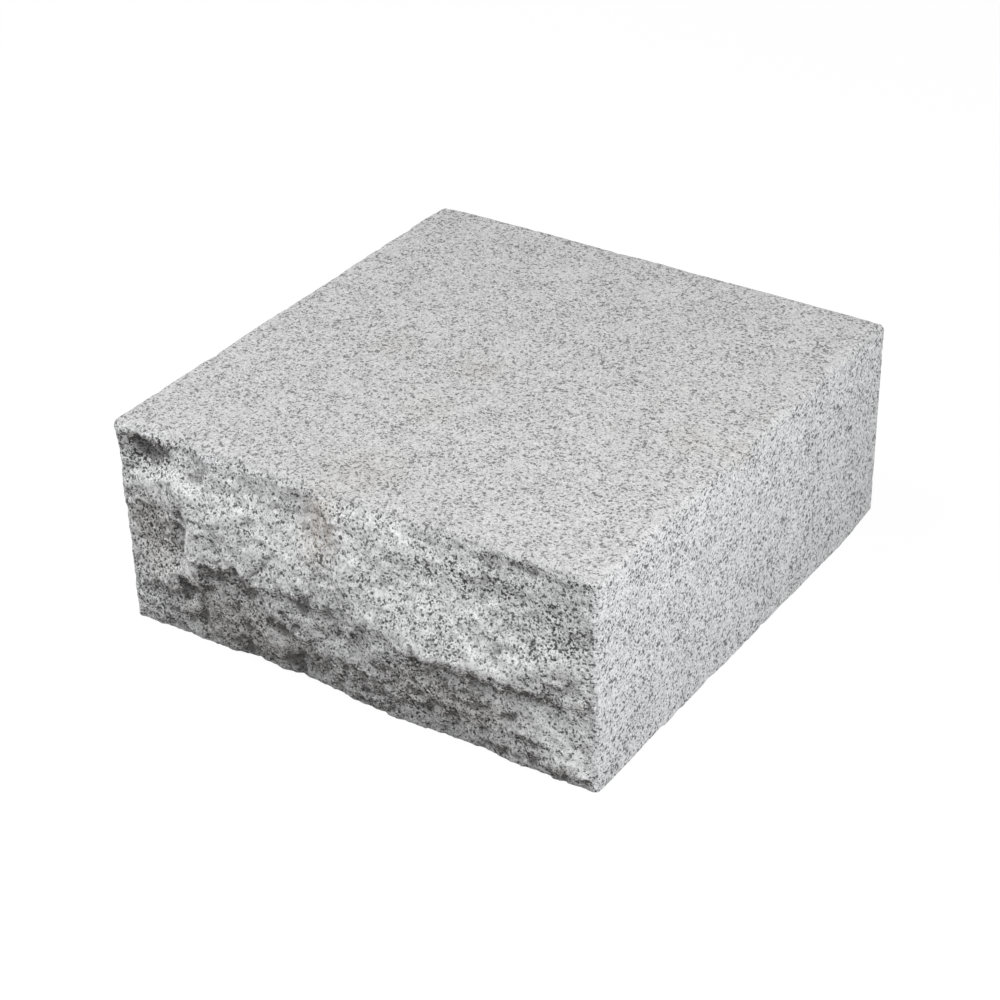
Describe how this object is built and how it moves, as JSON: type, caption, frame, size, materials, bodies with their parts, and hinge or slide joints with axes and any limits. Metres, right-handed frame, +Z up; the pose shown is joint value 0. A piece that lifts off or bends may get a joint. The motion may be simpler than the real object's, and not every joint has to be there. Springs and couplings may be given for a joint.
{
  "type": "granite step",
  "caption": "Solid grey granite block step with a flat tread, sawn sides and a split rock-faced front.",
  "frame": {"origin": "middle of the bed (the flat underside), halfway between the line of the front arrises and the back", "axes": "+Z up through the tread, +X along the length of the step, to the right seen from the front, +Y from the rock face to the back"},
  "size_m": [0.35, 0.3801, 0.148],
  "materials": {
    "granite": "light grey fine-grained granite with small dark mica flecks, matt: fine-textured tread and sides, rough split front"
  },
  "bodies": {
    "root": {"granite_step": "granite"}
  },
  "joints": []
}
